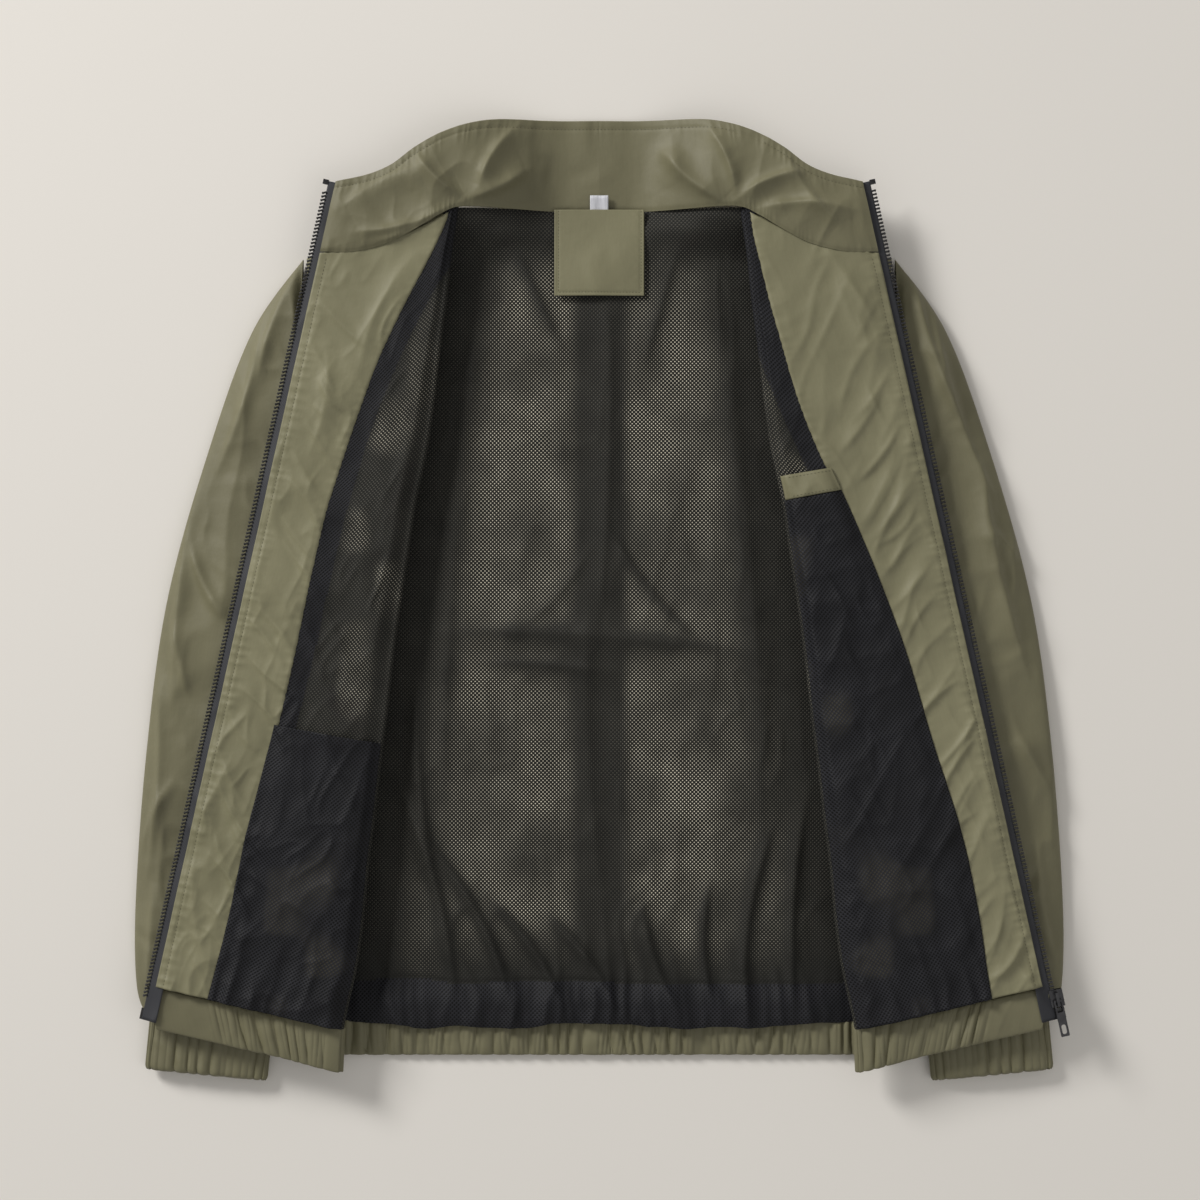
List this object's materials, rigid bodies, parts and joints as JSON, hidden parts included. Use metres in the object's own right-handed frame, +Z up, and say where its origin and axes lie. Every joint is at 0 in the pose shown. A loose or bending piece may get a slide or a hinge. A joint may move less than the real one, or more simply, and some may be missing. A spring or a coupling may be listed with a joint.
{
  "type": "jacket",
  "caption": "Lightweight zip-front jacket with stand collar, mesh lining and elastic hem and cuffs, lying on its back with both fronts folded open.",
  "frame": {"origin": "the middle of the space that the jacket takes as it lies, on the surface it lies on", "axes": "+X to the wearer's left, +Y to the collar, +Z up, away from the surface; left and right in names are the wearer's"},
  "size_m": [0.7666, 0.7894, 0.0352],
  "materials": {
    "shell": "fine plain-woven synthetic, olive, slight satin sheen",
    "lining_mesh": "knitted mesh, near black, round holes at a 2.3 mm pitch",
    "elastic": "woven elastic, off-white, hidden in its casing",
    "label": "white satin ribbon, blank",
    "zip_tape": "woven polyester tape, blue-black",
    "zip_moulding": "moulded acetal, black, glossy",
    "zip_metal": "die-cast, black enamel"
  },
  "bodies": {
    "torso": {"back_shell": "shell", "back_lining": "lining_mesh", "back_hem_casing": "shell", "back_hem_elastic": "elastic", "back_collar_outer": "shell", "back_collar_inner": "shell", "size_label": "label", "left_side_shell": "shell", "left_side_hem": "shell", "right_side_shell": "shell", "right_side_hem": "shell"},
    "left_front": {"left_front_shell": "shell", "left_front_facing": "shell", "left_front_lining": "lining_mesh", "left_pocket_bag": "lining_mesh", "left_hand_welt": "shell", "left_collar_outer": "shell", "left_collar_inner": "shell", "left_front_hem_casing": "shell", "left_front_hem_elastic": "elastic", "left_zip_tape": "zip_tape", "left_zip_chain": "zip_moulding", "left_zip_film": "zip_tape", "left_zip_top_stop": "zip_moulding", "left_pocket_binding": "shell", "left_zip_box": "zip_moulding"},
    "right_front": {"right_front_shell": "shell", "right_front_facing": "shell", "right_front_lining": "lining_mesh", "right_pocket_bag": "lining_mesh", "right_hand_welt": "shell", "right_collar_outer": "shell", "right_collar_inner": "shell", "right_front_hem_casing": "shell", "right_front_hem_elastic": "elastic", "right_zip_tape": "zip_tape", "right_zip_chain": "zip_moulding", "right_zip_film": "zip_tape", "right_zip_top_stop": "zip_moulding", "right_zip_pin": "zip_moulding"},
    "left_sleeve": {"left_sleeve": "shell", "left_cuff_casing": "shell", "left_cuff_elastic": "elastic"},
    "right_sleeve": {"right_sleeve": "shell", "right_cuff_casing": "shell", "right_cuff_elastic": "elastic"},
    "neck_flap": {"neck_flap": "shell"},
    "zip_slider": {"zip_slider": "zip_metal"},
    "zip_pull": {"zip_pull": "zip_metal"}
  },
  "joints": [
    {"name": "left_front_fold", "type": "hinge", "parent": "torso", "child": "left_front", "pos_m": [0.11436, 0.32165, 0.025], "axis": [0.135, -0.9908, 0], "range_deg": [0, 170]},
    {"name": "right_front_fold", "type": "hinge", "parent": "torso", "child": "right_front", "pos_m": [-0.11564, 0.32165, 0.025], "axis": [0.135, 0.9908, 0], "range_deg": [0, 170]},
    {"name": "left_sleeve_swing", "type": "hinge", "parent": "torso", "child": "left_sleeve", "pos_m": [0.2434, 0.2806, 0.008], "axis": [0, 0, 1], "range_deg": [0, 30]},
    {"name": "right_sleeve_swing", "type": "hinge", "parent": "torso", "child": "right_sleeve", "pos_m": [-0.2447, 0.2806, 0.008], "axis": [0, 0, -1], "range_deg": [0, 30]},
    {"name": "neck_flap_lift", "type": "hinge", "parent": "torso", "child": "neck_flap", "pos_m": [-0.00064, 0.32165, 0.0076], "axis": [-1, 0, 0], "range_deg": [0, 175]},
    {"name": "zip_slide", "type": "slide", "parent": "left_front", "child": "zip_slider", "axis": [-0.2177, 0.976, 0], "range_m": [0, 0.67]},
    {"name": "zip_pull_swing", "type": "hinge", "parent": "zip_slider", "child": "zip_pull", "pos_m": [0.37363, -0.32714, 0.0313], "axis": [-0.976, -0.2177, 0], "range_deg": [0, 170]}
  ]
}
